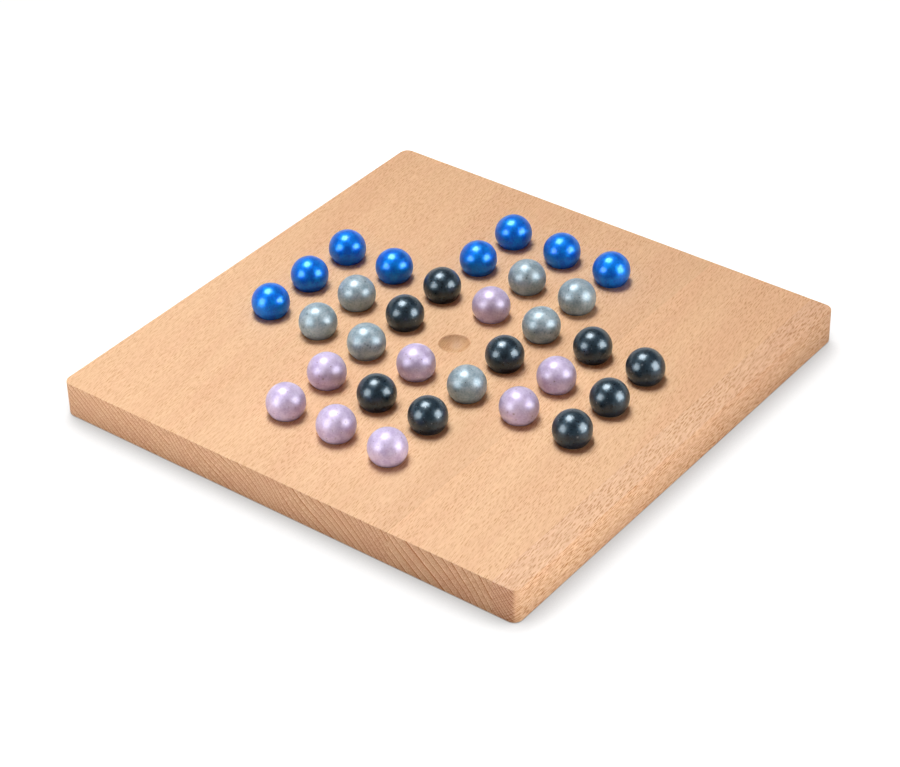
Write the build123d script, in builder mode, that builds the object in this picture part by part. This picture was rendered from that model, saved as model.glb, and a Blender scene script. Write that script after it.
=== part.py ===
from build123d import *
import os

# Marble solitaire board: a square beech board glued up from staves, with 33 round
# seats in a cross and 32 glass marbles. The middle seat is empty at the start of play.
# All sizes are in millimetres. +Z is up and the origin is the centre of the underside.
# The grain runs along Y, so the end grain shows on the two faces across Y.

os.makedirs("parts", exist_ok=True)

# Board
board_width = 225.0
board_length = 225.0
board_thickness = 16.0
corner_radius = 4.0
top_edge_round = 0.5
under_edge_round = 0.9

# Staves, side by side across the width and of mixed width, as they come from the saw.
# The first one, on the left (-X), takes the width that is left.
stave_2_width = 57.0
stave_3_width = 52.0
stave_4_width = 48.0
edge_strip_width = 11.0

# Marbles and their seats
marble_diameter = 16.0
seat_pitch = 25.4
seat_depth = 3.4
seat_clearance = 0.15

# One letter for each marble and a dot for the empty seat, as seen from above:
# the first row is at the back (+Y) and the first column is on the left (-X).
seat_rows = (
    "  BBB  ",
    "  BGG  ",
    "BBDLGDD",
    "BGD.DLD",
    "BGGLGLD",
    "  LDD  ",
    "  LLL  ",
)
colour_names = {"B": "blue", "G": "grey", "D": "dark", "L": "lilac"}
empty_seat = "."

# A marble and the ball-nosed cutter that makes its seat share one centre
marble_radius = marble_diameter / 2
cutter_radius = marble_radius + seat_clearance
marble_centre_height = board_thickness - seat_depth + cutter_radius


def seat_places():
    """Gives the letter and the place in plan of each seat, from the back left."""
    middle_row = (len(seat_rows) - 1) / 2
    places = []
    for row, letters in enumerate(seat_rows):
        middle_column = (len(letters) - 1) / 2
        for column, letter in enumerate(letters):
            if letter != " ":
                x = (column - middle_column) * seat_pitch
                y = (middle_row - row) * seat_pitch
                places.append((letter, x, y))
    return places


# The whole board with its seats, before it is divided along its glue lines
with BuildPart() as blank:
    with BuildSketch(Plane.XY) as outline:
        RectangleRounded(board_width, board_length, corner_radius)
    extrude(amount=board_thickness)
    fillet(blank.edges().group_by(Axis.Z)[-1], top_edge_round)
    fillet(blank.edges().group_by(Axis.Z)[0], under_edge_round)
    with Locations(*[(x, y, marble_centre_height) for _, x, y in seat_places()]):
        Sphere(cutter_radius, mode=Mode.SUBTRACT)

# Staves from left to right, each one the part of the board between its two glue lines
right_hand_widths = stave_2_width + stave_3_width + stave_4_width + edge_strip_width
stave_widths = {
    "board_stave_1": board_width - right_hand_widths,
    "board_stave_2": stave_2_width,
    "board_stave_3": stave_3_width,
    "board_stave_4": stave_4_width,
    "board_edge_strip": edge_strip_width,
}
left = -board_width / 2

for stave_name, width in stave_widths.items():
    with BuildPart() as stave:
        add(blank.part)
        with BuildSketch(Plane.XY) as stave_plan:
            with Locations((left + width / 2, 0)):
                Rectangle(width, board_length)
        extrude(amount=board_thickness, mode=Mode.INTERSECT)
    stave.part.label = stave_name
    export_step(stave.part, f"parts/{stave_name}.step")
    left += width

# Marbles, numbered by colour from the back left
marble_counts = dict.fromkeys(colour_names, 0)

for letter, x, y in seat_places():
    if letter == empty_seat:
        continue
    marble_counts[letter] += 1
    marble_name = f"{colour_names[letter]}_marble_{marble_counts[letter]}"
    with BuildPart() as marble:
        with Locations((x, y, marble_centre_height)):
            Sphere(marble_radius)
    marble.part.label = marble_name
    export_step(marble.part, f"parts/{marble_name}.step")
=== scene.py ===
import bpy
import numpy as np
from mathutils import Matrix, Vector


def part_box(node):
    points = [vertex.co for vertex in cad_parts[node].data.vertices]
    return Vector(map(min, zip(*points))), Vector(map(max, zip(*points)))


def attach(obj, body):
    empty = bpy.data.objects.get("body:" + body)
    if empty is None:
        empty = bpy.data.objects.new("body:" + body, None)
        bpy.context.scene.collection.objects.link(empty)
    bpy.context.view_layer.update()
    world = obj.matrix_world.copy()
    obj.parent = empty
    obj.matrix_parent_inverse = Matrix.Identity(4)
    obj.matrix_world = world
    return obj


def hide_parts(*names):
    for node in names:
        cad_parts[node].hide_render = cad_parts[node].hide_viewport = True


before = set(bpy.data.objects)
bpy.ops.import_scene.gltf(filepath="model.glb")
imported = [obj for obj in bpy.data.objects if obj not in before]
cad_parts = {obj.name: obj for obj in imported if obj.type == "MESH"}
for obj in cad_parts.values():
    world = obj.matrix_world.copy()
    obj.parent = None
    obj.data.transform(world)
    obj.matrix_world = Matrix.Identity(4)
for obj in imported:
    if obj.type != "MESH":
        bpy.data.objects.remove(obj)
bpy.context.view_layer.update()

# The photograph's camera. It stands past the board's front right corner and looks down
# on it through a long lens, so the far edges come out nearly as long as the near ones.
camera_place = Vector((0.5338, -0.6914, 0.6201))
camera_right = Vector((0.7981, 0.6022, -0.0190))
camera_up = Vector((-0.3379, 0.4734, 0.8134))
camera_back = camera_right.cross(camera_up).normalized()

camera = bpy.data.objects.new("camera", bpy.data.cameras.new("camera"))
camera.data.lens = 104.19
camera.data.sensor_width = 36
camera_turn = Matrix((camera_right, camera_back.cross(camera_right), camera_back)).transposed()
camera.matrix_world = Matrix.Translation(camera_place) @ camera_turn.to_4x4()
bpy.context.collection.objects.link(camera)
bpy.context.scene.camera = camera

# The four wide staves. They are steamed beech, sawn so that the growth rings slant down to
# the right across the end grain, planed, glued edge to edge, sanded and wiped with oil.
# The rays of the wood show as fine brown dashes along the grain on the long faces.
mm = 0.001
board_low, board_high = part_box("board_stave_1")
board_left = board_low.x
board_top = board_high.z


def add_node(paint, kind, inputs, **options):
    """Adds a shader node. Each input is a number, a colour or another node's output."""
    node = paint.node_tree.nodes.new("ShaderNode" + kind)
    for option, value in options.items():
        setattr(node, option, value)
    for socket, value in inputs.items():
        if isinstance(value, bpy.types.NodeSocket):
            paint.node_tree.links.new(value, node.inputs[socket])
        else:
            node.inputs[socket].default_value = value
    return node


def calc(paint, operation, *values):
    """Arithmetic on values that vary over the surface."""
    return add_node(paint, "Math", dict(enumerate(values)), operation=operation).outputs[0]


def calc_place(paint, operation, *values):
    """Arithmetic on places and colours that vary over the surface."""
    return add_node(paint, "VectorMath", dict(enumerate(values)), operation=operation).outputs[0]


def split(paint, place):
    """The three axes of a place, a direction or a colour."""
    return add_node(paint, "SeparateXYZ", {0: place}).outputs


def stretch(paint, place, cell):
    """Scales a place so that one unit is one cell, which may be longer one way than another."""
    return calc_place(paint, "MULTIPLY", place, [1 / side for side in cell])


def cloud(paint, place, cell, detail=2.0, roughness=0.5):
    """Soft noise from 0 to 1 whose patches are about one cell large."""
    inputs = {"Vector": stretch(paint, place, cell), "Scale": 1.0, "Detail": detail}
    return add_node(paint, "TexNoise", {**inputs, "Roughness": roughness}).outputs["Fac"]


def spread(paint, value, low, high, low_result, high_result):
    """Maps low..high onto low_result..high_result with soft ends, and holds the results beyond."""
    inputs = {"Value": value, "From Min": low, "From Max": high, "To Min": low_result, "To Max": high_result}
    return add_node(paint, "MapRange", inputs, interpolation_type="SMOOTHSTEP").outputs["Result"]


def blend(paint, share, colour_a, colour_b):
    """Goes from colour a to colour b as the share goes from 0 to 1."""
    return add_node(paint, "Mix", {0: share, 6: colour_a, 7: colour_b}, data_type="RGBA").outputs[2]


def stain(paint, colour, darkness):
    """Darkens wood towards its own brown, most in blue and least in red. Below 0 it makes it paler."""
    held_back = calc_place(paint, "MULTIPLY_ADD", darkness, (-0.60, -1.0, -1.30), (1.0, 1.0, 1.0))
    return calc_place(paint, "MULTIPLY", colour, held_back)


def growth_rings(paint, place, tilt, sway, flattest, sway_length, width):
    """Darkness of the rings: each year deepens, ends in a thin dark line, and the next starts pale.
    The rings slant by tilt, less by sway where they lie flattest and more half a sway length on."""
    across, _, up = split(paint, place)
    turn = 2 * np.pi / sway_length
    swing = calc(paint, "MULTIPLY", calc(paint, "SUBTRACT", across, flattest), turn)
    swing = calc(paint, "MULTIPLY", calc(paint, "SINE", swing), -sway / turn)
    outward = calc(paint, "ADD", calc(paint, "MULTIPLY_ADD", across, tilt, up), swing)
    wander = cloud(paint, place, (24 * mm, 180 * mm, 24 * mm), 1.0)
    outward = calc(paint, "MULTIPLY_ADD", wander, 3.0 * mm, outward)
    waver = cloud(paint, place, (3.0 * mm, 30 * mm, 3.0 * mm), 1.0)
    outward = calc(paint, "MULTIPLY_ADD", waver, 0.4 * mm, outward)

    # Years of uneven width: a slow noise along the radius crowds some together
    year = width * np.hypot(1.0, tilt)
    luck = {"W": calc(paint, "DIVIDE", outward, year * 2.3), "Scale": 1.0, "Detail": 1.0}
    luck = add_node(paint, "TexNoise", luck, noise_dimensions="1D").outputs["Fac"]
    years = calc(paint, "MULTIPLY_ADD", luck, 0.9, calc(paint, "DIVIDE", outward, year))
    season = calc(paint, "FRACT", years)
    summer = spread(paint, season, 0.30, 0.95, 0.0, 0.12)
    autumn_line = spread(paint, season, 0.82, 0.90, 0.0, 0.34)
    spring_line = spread(paint, season, 0.0, 0.25, -0.26, 0.0)
    return calc(paint, "ADD", calc(paint, "ADD", summer, autumn_line), spring_line)


def ray_dashes(paint, place, cell, dash, shift):
    """Wood rays: thin sheets that stand square to the rings, one in each cell of the plane along
    the rings and the grain. Dash is half a ray's width and half its length. The result is 1 on a
    ray and 0 off it."""
    plan = calc_place(paint, "ADD", stretch(paint, place, (*cell, 1)), shift)
    cells = add_node(paint, "TexVoronoi", {"Vector": plan, "Scale": 1.0}, voronoi_dimensions="2D")
    away = calc_place(paint, "SUBTRACT", plan, cells.outputs["Position"])
    away = calc_place(paint, "MULTIPLY", away, (cell[0] / dash[0], cell[1] / dash[1], 0.0))
    away = add_node(paint, "VectorMath", {0: away}, operation="LENGTH").outputs["Value"]
    reach = spread(paint, split(paint, cells.outputs["Color"])[0], 0.0, 1.0, 0.6, 1.1)
    return spread(paint, calc(paint, "DIVIDE", away, reach), 0.5, 1.2, 1.0, 0.0)


def beech(name, colours, cut_from, lean, rings, ring_depth, ray_cell, ray_dash, ray_depth, fibre_depth):
    """Beech as a solid block. Rings, rays and fibres have their places in the wood, so each face
    cuts them its own way. Cut_from shifts the block along the plank, so that no two staves match,
    and lean turns its fibres off the board's length, in degrees. Colours are two for the long
    faces and two for the end grain. Depths are pairs, on the long faces and on the end grain, and
    the rays have one more in between, on the sides."""
    paint = bpy.data.materials.new(name)
    paint.use_nodes = True
    paint.node_tree.nodes.clear()
    where = add_node(paint, "TexCoord", {})
    place = where.outputs["Object"]
    fibre_turn = {"Vector": place, "Location": cut_from, "Rotation": (0, 0, -np.radians(lean))}
    plank = add_node(paint, "Mapping", fibre_turn).outputs[0]
    facing_x, facing_y, facing_z = split(paint, where.outputs["Normal"])

    # The end grain shows where the surface faces along Y, and the sides face along X
    side_share = spread(paint, calc(paint, "ABSOLUTE", facing_x), 0.7, 0.95, 0.0, 1.0)
    end_share = spread(paint, calc(paint, "ABSOLUTE", facing_y), 0.7, 0.95, 0.0, 1.0)
    ring_share = spread(paint, end_share, 0.0, 1.0, *ring_depth)
    ring_darkness = calc(paint, "MULTIPLY", growth_rings(paint, place, **rings), ring_share)

    # Rays: dashes on the long faces, and faint lines across the rings on the end grain
    slant = np.arctan(rings["tilt"])
    along_rings = add_node(paint, "Mapping", {"Vector": plank, "Rotation": (0, -slant, 0)}).outputs[0]
    waver = add_node(paint, "TexNoise", {"Vector": stretch(paint, plank, [11 * mm] * 3), "Scale": 1.0})
    drift = (0.15 * mm, 2.0 * mm, 0.0)
    along_rings = calc_place(paint, "MULTIPLY_ADD", waver.outputs["Color"], drift, along_rings)
    main_rays = ray_dashes(paint, along_rings, ray_cell, ray_dash, (0.0, 0.0, 0.0))
    coarser = [side * 1.6 for side in ray_cell]
    stray_rays = ray_dashes(paint, along_rings, coarser, ray_dash, (4.3, 8.1, 0.0))
    rays = calc(paint, "MAXIMUM", main_rays, stray_rays)
    crowd = cloud(paint, plank, (9 * mm, 30 * mm, 9 * mm))
    ray_share = calc(paint, "MULTIPLY", spread(paint, crowd, 0.3, 0.7, 0.6, 1.0), rays)
    on_top, on_side, on_end = ray_depth
    depth = spread(paint, end_share, 0.0, 1.0, on_top, on_end)
    depth = calc(paint, "MULTIPLY_ADD", side_share, on_side - on_top, depth)
    ray_darkness = calc(paint, "MULTIPLY", ray_share, depth)

    # Fibres: long fine streaks, which are cut to a fine grit on the end grain
    fibres = cloud(paint, plank, (0.5 * mm, 8 * mm, 0.5 * mm), 2.0, 0.6)
    fibre_share = spread(paint, end_share, 0.0, 1.0, *fibre_depth)
    fibre_darkness = calc(paint, "MULTIPLY", calc(paint, "SUBTRACT", fibres, 0.5), fibre_share)
    figure = cloud(paint, plank, (12 * mm, 140 * mm, 12 * mm), 3.0)
    figure_darkness = spread(paint, figure, 0.25, 0.75, -0.03, 0.03)

    # Painted shade: the upright outer faces are darkened towards the bottom, standing in for the shade near
    # the table
    height = split(paint, place)[2]
    share_of_height = calc(paint, "DIVIDE", height, board_top)
    upright = spread(paint, calc(paint, "ABSOLUTE", facing_z), 0.3, 0.7, 1.0, 0.0)
    painted_low_shade = calc(paint, "MULTIPLY", spread(paint, share_of_height, 0.0, 0.95, 0.11, -0.01), upright)

    # Patches are pinker or more straw-coloured, and the end grain is browner with oil
    rosy = spread(paint, cloud(paint, plank, (10 * mm, 90 * mm, 10 * mm)), 0.35, 0.7, 0.0, 1.0)
    straw, rose, end_straw, end_rose = [(*colour, 1) for colour in colours]
    long_colour = blend(paint, rosy, straw, rose)
    end_colour = blend(paint, rosy, end_straw, end_rose)
    colour = blend(paint, end_share, long_colour, end_colour)
    for darkness in (ring_darkness, ray_darkness, fibre_darkness, figure_darkness):
        colour = stain(paint, colour, darkness)
    # The painted shade low on the upright faces darkens the colour here
    colour = calc_place(paint, "MULTIPLY", colour, calc(paint, "SUBTRACT", 1.0, painted_low_shade))

    # The seats are browner: the surface faces up there, but lies below the top
    below_top = calc(paint, "SUBTRACT", board_top, height)
    sunk = spread(paint, below_top, 0.1 * mm, 0.5 * mm, 0.0, 1.0)
    in_seat = calc(paint, "MULTIPLY", sunk, spread(paint, facing_z, 0.4, 0.6, 0.0, 1.0))
    seat_colour = calc_place(paint, "MULTIPLY", colour, (0.82, 0.79, 0.71))
    colour = blend(paint, in_seat, colour, seat_colour)

    # Oiled and sanded: a soft satin that the fibres break up
    roughness = spread(paint, fibres, 0.2, 0.8, 0.48, 0.60)
    bump = add_node(paint, "Bump", {"Height": fibres, "Strength": 0.35, "Distance": 0.03 * mm})
    inputs = {"Base Color": colour, "Roughness": roughness, "Normal": bump.outputs[0]}
    wood = add_node(paint, "BsdfPrincipled", {**inputs, "Specular IOR Level": 0.25})
    add_node(paint, "OutputMaterial", {"Surface": wood.outputs[0]})
    return paint


stave_colours = np.array([(0.800, 0.532, 0.303), (0.785, 0.502, 0.288)])
stave_end_colours = [(0.630, 0.402, 0.238), (0.615, 0.374, 0.224)]

# On the long faces the second stave is a little darker than the first, and the last is paler
stave_tones = (1.0, 0.99, 1.0, 1.045)

# How each stave was sawn. The rings slant by tilt, and their slope sways along the end grain.
# Lengths are in millimetres, and flattest is measured from the board's left edge.
stave_rings = {
    "board_stave_1": {"tilt": 0.75, "sway": -0.13, "flattest": 18, "sway_length": 110, "width": 2.2},
    "board_stave_2": {"tilt": 0.98, "sway": 0.36, "flattest": 86, "sway_length": 60, "width": 2.1},
    "board_stave_3": {"tilt": 0.98, "sway": 0.27, "flattest": 133, "sway_length": 56, "width": 2.6},
    "board_stave_4": {"tilt": 1.12, "sway": 0.28, "flattest": 180, "sway_length": 66, "width": 3.2},
}

for number, (stave_name, rings) in enumerate(stave_rings.items()):
    rings["flattest"] = board_left + rings["flattest"] * mm
    rings["sway_length"] *= mm
    rings["width"] *= mm
    cut_from = (0.31 * number, 0.47 * number, 0.23 * number)
    colours = (stave_tones[number] * stave_colours).tolist() + stave_end_colours
    stave_beech = beech(
        stave_name + "_beech", colours, cut_from, lean=9, rings=rings, ring_depth=(0.11, 1.3),
        ray_cell=(0.65 * mm, 3.2 * mm), ray_dash=(0.09 * mm, 1.3 * mm), ray_depth=(0.45, 0.7, 0.16),
        fibre_depth=(0.45, 1.6),
    )
    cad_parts[stave_name].material_slots[0].material = stave_beech

# The narrow strip along the right edge. It is beech too, but quarter-sawn from another plank:
# pinker, with longer and darker ray dashes, and an end grain that is cross-hatched, not ringed.
edge_colours = [
    (0.830, 0.562, 0.340),
    (0.812, 0.532, 0.327),
    (0.640, 0.400, 0.244),
    (0.620, 0.374, 0.230),
]
edge_middle = board_left + 219 * mm
edge_rings = {"tilt": 1.3, "sway": 0.1, "flattest": edge_middle, "sway_length": 40 * mm, "width": 1.3 * mm}

edge_beech = beech(
    "board_edge_strip_beech", edge_colours, cut_from=(1.7, 2.1, 1.3), lean=7, rings=edge_rings,
    ring_depth=(0.10, 2.0), ray_cell=(0.65 * mm, 3.6 * mm), ray_dash=(0.14 * mm, 1.5 * mm),
    ray_depth=(0.50, 0.78, 0.45), fibre_depth=(0.9, 1.2),
)
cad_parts["board_edge_strip"].material_slots[0].material = edge_beech

# The grey marbles. Each is a 16 mm pressed glass ball with a fired lustre of fine mica under
# a clear glaze: silver-grey, cloudy, with small dark pits where the glaze has drawn back.
marble_grid = 48
out_of_round = 0.02 * mm


def ball_grid(steps):
    """Points of a unit ball and its quads. Each of six cube faces is a square grid of two angles
    from -45 to 45 degrees, and the direction of a point is (tan a, tan b, 1) on its face,
    divided by its length. The face seams are welded."""
    tangent = np.tan(np.linspace(-np.pi / 4, np.pi / 4, steps + 1))
    a, b = np.meshgrid(tangent, tangent, indexing="ij")
    one = np.ones_like(a)
    faces = [(a, b, one), (b, a, -one), (one, a, b), (-one, b, a), (b, one, a), (a, -one, b)]
    points = np.concatenate([np.stack(face, -1).reshape(-1, 3) for face in faces])
    corner = (np.arange(steps)[:, None] * (steps + 1) + np.arange(steps)).reshape(-1)
    square = corner[:, None] + [0, steps + 1, steps + 2, 1]
    quads = np.concatenate([square + side * (steps + 1) ** 2 for side in range(6)])
    _, first, weld = np.unique(points.round(6), axis=0, return_index=True, return_inverse=True)
    points = points[first]
    return points / np.linalg.norm(points, axis=1, keepdims=True), weld.reshape(-1)[quads]


def marble_shape(draw, pit_count):
    """Radius and pit mark for each direction of the ball grid. The radius is the marble's own,
    less a shallow swell along three random axes, less a bell-shaped dent at each pit.
    The mark is 1 at a pit's centre and 0 away from it."""
    axes = draw.normal(size=(3, 3))
    axes /= np.linalg.norm(axes, axis=1, keepdims=True)
    swell = ((ball_directions @ axes.T) ** 2).mean(axis=1)
    pits = draw.normal(size=(pit_count, 3))
    pits /= np.linalg.norm(pits, axis=1, keepdims=True)
    pit_size = draw.uniform(0.22, 0.38, pit_count) * mm / marble_radius
    away = np.arccos(np.clip(ball_directions @ pits.T, -1, 1)) / pit_size
    dent = (np.exp(-(away**2)) * draw.uniform(0.3, 1.0, pit_count)).max(axis=1)
    return marble_radius - out_of_round * swell - 0.05 * mm * dent, dent


def glass_marble(node, material, seed, pit_count):
    """A marble in place of its node, as a closed mesh in the node's own place."""
    low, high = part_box(node)
    centre = np.array((low + high) / 2)
    radius, dent = marble_shape(np.random.default_rng(seed), pit_count)
    points = centre + ball_directions * radius[:, None]
    mesh = bpy.data.meshes.new(node + "_glass")
    mesh.from_pydata(points.tolist(), [], ball_quads.tolist())
    mesh.shade_smooth()
    pit = mesh.attributes.new("pit", "FLOAT", "POINT")
    pit.data.foreach_set("value", dent.astype(np.float32))
    mesh.materials.append(material)
    marble = bpy.data.objects.new(node + "_glass", mesh)
    bpy.context.collection.objects.link(marble)
    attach(marble, node)
    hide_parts(node)


def lustre_glass(name, deep, bloom, mica, blur, gloss, glaze, sheen_tint, speck, speck_depth, hammered):
    """Opaque lustre: pigment and mica under a clear glaze. Bloom is the paler cloud in the pigment,
    mica is the metal's share, blur is how wide the lustre spreads a lamp's reflection, gloss and
    sheen tint are that reflection's strength and colour, and hammered is how far the glaze waves,
    in millimetres."""
    paint = bpy.data.materials.new(name)
    paint.use_nodes = True
    paint.node_tree.nodes.clear()
    place = add_node(paint, "TexCoord", {}).outputs["Object"]

    # Cloudy pigment with a fine sparkle of mica
    clouds = cloud(paint, place, [3.2 * mm] * 3, 6.0, 0.6)
    grit = cloud(paint, place, [0.8 * mm] * 3, 3.0, 0.65)
    share = calc(paint, "MULTIPLY_ADD", grit, 0.5, clouds)
    share = spread(paint, share, 0.5, 1.0, 0.0, 1.0)
    colour = blend(paint, share, (*deep, 1), (*bloom, 1))

    # Small specks in the glaze, and the pits that the mesh carries
    cells = add_node(paint, "TexVoronoi", {"Vector": stretch(paint, place, [1.3 * mm] * 3), "Scale": 1.0})
    rare = split(paint, cells.outputs["Color"])[0]
    reach = spread(paint, rare, 0.5, 1.0, 0.001, 0.19)
    from_speck = calc(paint, "DIVIDE", cells.outputs["Distance"], reach)
    speck_mark = spread(paint, from_speck, 0.5, 1.2, speck_depth, 0.0)
    pit_mark = add_node(paint, "Attribute", {}, attribute_name="pit").outputs["Fac"]
    marks = calc(paint, "MAXIMUM", speck_mark, calc(paint, "MULTIPLY", pit_mark, 0.8))
    colour = blend(paint, marks, colour, (*speck, 1))

    roughness = spread(paint, grit, 0.25, 0.75, blur - 0.05, blur + 0.05)
    bump = add_node(paint, "Bump", {"Height": grit, "Strength": 1.0, "Distance": hammered * mm})
    inputs = {
        "Base Color": colour,
        "Metallic": mica,
        "Roughness": roughness,
        "Normal": bump.outputs[0],
        "Specular IOR Level": gloss,
        "Specular Tint": (*sheen_tint, 1),
        "Coat Weight": glaze,
        "Coat Roughness": 0.18,
        "Coat IOR": 1.5,
    }
    glass = add_node(paint, "BsdfPrincipled", inputs)
    add_node(paint, "OutputMaterial", {"Surface": glass.outputs[0]})
    return paint


ball_directions, ball_quads = ball_grid(marble_grid)
grey_low, grey_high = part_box("grey_marble_1")
marble_radius = (grey_high - grey_low).x / 2
white = (1.0, 1.0, 1.0)
grey_glass = lustre_glass(
    "grey_lustre", deep=(0.20, 0.31, 0.38), bloom=(0.38, 0.50, 0.57), mica=0.19, blur=0.47, gloss=0.32,
    glaze=0.3, sheen_tint=white, speck=(0.03, 0.03, 0.035), speck_depth=0.85, hammered=0.05,
)
for number in range(1, 8):
    glass_marble(f"grey_marble_{number}", grey_glass, seed=100 + number, pit_count=26)

# The blue marbles. The same pressed balls under a strong cobalt lustre, smoother and cleaner
# than the grey, with hardly a pit.
cobalt_sheen = (0.05, 0.7, 1.0)
blue_glass = lustre_glass(
    "blue_lustre", deep=(0.0, 0.092, 0.67), bloom=(0.0, 0.21, 0.84), mica=0.32, blur=0.40, gloss=0.5,
    glaze=0.35, sheen_tint=cobalt_sheen, speck=(0.0, 0.02, 0.12), speck_depth=0.3, hammered=0.045,
)
for number in range(1, 9):
    glass_marble(f"blue_marble_{number}", blue_glass, seed=200 + number, pit_count=6)

# The dark marbles. The same balls under a blue-black lustre, the glossiest of the four, with
# pale specks of mica in the glaze.
steel_sheen = (0.72, 0.93, 1.0)
dark_glass = lustre_glass(
    "dark_lustre", deep=(0.001, 0.009, 0.022), bloom=(0.012, 0.032, 0.055), mica=0.3, blur=0.31, gloss=0.53,
    glaze=0.4, sheen_tint=steel_sheen, speck=(0.26, 0.31, 0.36), speck_depth=0.5, hammered=0.10,
)
for number in range(1, 10):
    glass_marble(f"dark_marble_{number}", dark_glass, seed=300 + number, pit_count=8)

# The lilac marbles. The same balls under a pale pearl over violet pigment, cloudy and soft in
# gloss, with a few dark pits and specks.
lilac_glass = lustre_glass(
    "lilac_lustre", deep=(0.48, 0.41, 0.69), bloom=(0.66, 0.61, 0.86), mica=0.11, blur=0.48, gloss=0.32,
    glaze=0.3, sheen_tint=white, speck=(0.12, 0.06, 0.10), speck_depth=0.7, hammered=0.045,
)
for number in range(1, 9):
    glass_marble(f"lilac_marble_{number}", lilac_glass, seed=400 + number, pit_count=14)

# The floor is a white table. The camera sees it as bare white, greyed only where the board
# stands close enough to keep the room's light off it. Other rays meet a plain pale table.
floor_half = 3.0
shadow_reach = 30 * mm
shaded_brightness = 1.25
lit_share = 0.1
shadows_end = (0.22, 0.5)

floor_mesh = bpy.data.meshes.new("floor")
floor_corners = floor_half * np.array([(-1, -1, 0), (1, -1, 0), (1, 1, 0), (-1, 1, 0)])
floor_mesh.from_pydata(floor_corners.tolist(), [], [(0, 1, 2, 3)])
floor = bpy.data.objects.new("floor", floor_mesh)
bpy.context.collection.objects.link(floor)

floor_paint = bpy.data.materials.new("floor_paint")
floor_paint.use_nodes = True
floor_paint.node_tree.nodes.clear()
floor_rays = add_node(floor_paint, "LightPath", {})
open_sky = add_node(floor_paint, "AmbientOcclusion", {"Distance": shadow_reach}, samples=16).outputs["AO"]
shaded_strength = calc(floor_paint, "MULTIPLY", open_sky, shaded_brightness)
shaded_white = add_node(floor_paint, "Emission", {"Strength": shaded_strength}).outputs[0]
lit_white = add_node(floor_paint, "BsdfDiffuse", {"Color": (1.3, 1.3, 1.3, 1)}).outputs[0]
near_board = add_node(floor_paint, "MixShader", {0: lit_share, 1: shaded_white, 2: lit_white}).outputs[0]
bare_white = add_node(floor_paint, "Emission", {"Strength": 1.0}).outputs[0]
floor_place = add_node(floor_paint, "TexCoord", {}).outputs["Object"]
from_middle = add_node(floor_paint, "VectorMath", {0: floor_place}, operation="LENGTH").outputs["Value"]
far_share = spread(floor_paint, from_middle, *shadows_end, 0.0, 1.0)
to_camera = add_node(floor_paint, "MixShader", {0: far_share, 1: near_board, 2: bare_white}).outputs[0]
pale_table = add_node(floor_paint, "BsdfDiffuse", {"Color": (0.85, 0.85, 0.85, 1)}).outputs[0]
camera_share = floor_rays.outputs["Is Camera Ray"]
floor_surface = add_node(floor_paint, "MixShader", {0: camera_share, 1: pale_table, 2: to_camera})
add_node(floor_paint, "OutputMaterial", {"Surface": floor_surface.outputs[0]})
floor_mesh.materials.append(floor_paint)

# Studio light on the wood. One soft box stands high at the back left, gridded and turned to the
# near left corner, and two low white screens stand on the table before the two near faces.
screens = {
    "soft_box": {"place": (-0.515, 0.289, 1.51), "aim": Vector((-0.05, -0.24, board_top)),
                 "size": (0.8, 0.8), "beam": 50, "power": 3.65},
    "low_screen_left": {"place": (-0.15, -0.40, 0.0085), "aim": Vector((-0.04, -0.11, 0.0085)),
                        "size": (0.30, 0.015), "beam": 180, "power": 0.52},
    "low_screen_right": {"place": (0.44, -0.10, 0.0085), "aim": Vector((0.11, -0.03, 0.0085)),
                         "size": (0.30, 0.015), "beam": 180, "power": 0.72},
}

# Three more lamps are seen only as highlights, above all the three on each marble
board_middle = Vector((0, 0, board_top))
sparkles = {
    "sparkle_high_left": {"place": (-0.522, 0.022, 1.79), "size": (0.95, 0.95), "power": 64.0},
    "sparkle_low_right": {"place": (0.679, 0.160, 0.288), "size": (0.48, 0.48), "power": 9.8},
    "sparkle_low_front": {"place": (-0.261, -0.649, 0.297), "size": (0.46, 0.46), "power": 6.4},
}


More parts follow.
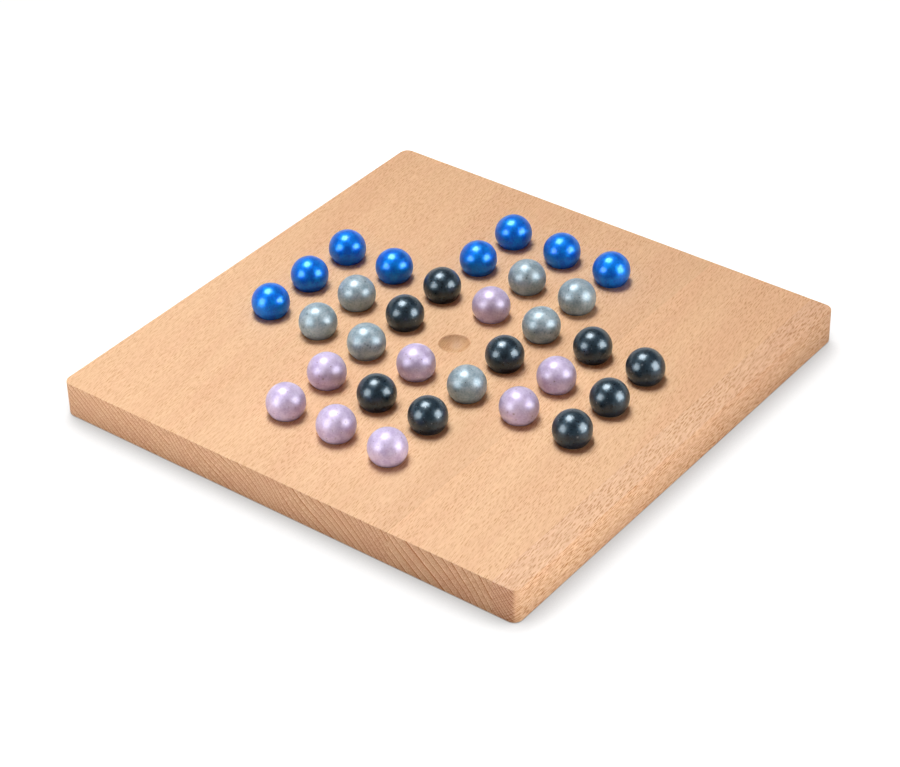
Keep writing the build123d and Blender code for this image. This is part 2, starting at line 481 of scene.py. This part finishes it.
def hang_lamp(name, place, size, power, aim=board_middle, beam=180):
    """A rectangular lamp of so many watts at a place, turned to its aim. Beam is in degrees."""
    lamp_data = bpy.data.lights.new(name, "AREA")
    lamp_data.shape = "RECTANGLE"
    lamp_data.size, lamp_data.size_y = size
    lamp_data.energy = power
    lamp_data.spread = np.radians(beam)
    lamp = bpy.data.objects.new(name, lamp_data)
    turn = (aim - Vector(place)).to_track_quat("-Z", "Y").to_matrix().to_4x4()
    lamp.matrix_world = Matrix.Translation(place) @ turn
    lamp.visible_camera = False
    bpy.context.collection.objects.link(lamp)
    return lamp


for screen_name, fit in screens.items():
    hang_lamp(screen_name, **fit).visible_glossy = False
for sparkle_name, fit in sparkles.items():
    hang_lamp(sparkle_name, **fit).visible_diffuse = False

# The room. The camera sees it white. The marbles mirror a bright backdrop on the far side, and
# next to nothing overhead. The light that fills the shadows is warm, as if off brown wood.
backdrop_side = (-0.61, 0.79, 0.0)
backdrop_strength = 1.5
least_mirrored = 0.03
fill_strength = 0.15
fill_level = (1.0, 0.55, 0.32, 1)
fill_above = (1.0, 0.32, 0.06, 1)

room = bpy.data.worlds.new("room")
room.use_nodes = True
room.node_tree.nodes.clear()
room_rays = add_node(room, "LightPath", {}).outputs
mirrored = calc(room, "MAXIMUM", room_rays["Is Glossy Ray"], room_rays["Is Transmission Ray"])
direction = add_node(room, "TexCoord", {}).outputs["Generated"]
to_backdrop = add_node(room, "VectorMath", {0: direction, 1: backdrop_side}, operation="DOT_PRODUCT")
backdrop = spread(room, to_backdrop.outputs["Value"], 0.0, 0.7, 0.2, 1.0)
up = split(room, direction)[2]
near_level = spread(room, up, 0.1, 0.5, 1.0, 0.0)
backdrop = calc(room, "MULTIPLY", backdrop, near_level)
mirror_strength = calc(room, "MULTIPLY_ADD", backdrop, backdrop_strength, least_mirrored)
mirror_strength = calc(room, "MULTIPLY", mirrored, mirror_strength)
seen_strength = calc(room, "MAXIMUM", room_rays["Is Camera Ray"], mirror_strength)
room_strength = calc(room, "MAXIMUM", seen_strength, fill_strength)
fill = blend(room, spread(room, up, 0.0, 0.5, 0.0, 1.0), fill_level, fill_above)
seen = calc(room, "MAXIMUM", room_rays["Is Camera Ray"], mirrored)
room_colour = blend(room, seen, fill, (1.0, 1.0, 1.0, 1))
room_light = add_node(room, "Background", {"Color": room_colour, "Strength": room_strength}).outputs[0]
add_node(room, "OutputWorld", {"Surface": room_light})
bpy.context.scene.world = room

bpy.context.scene.view_settings.view_transform = "Standard"
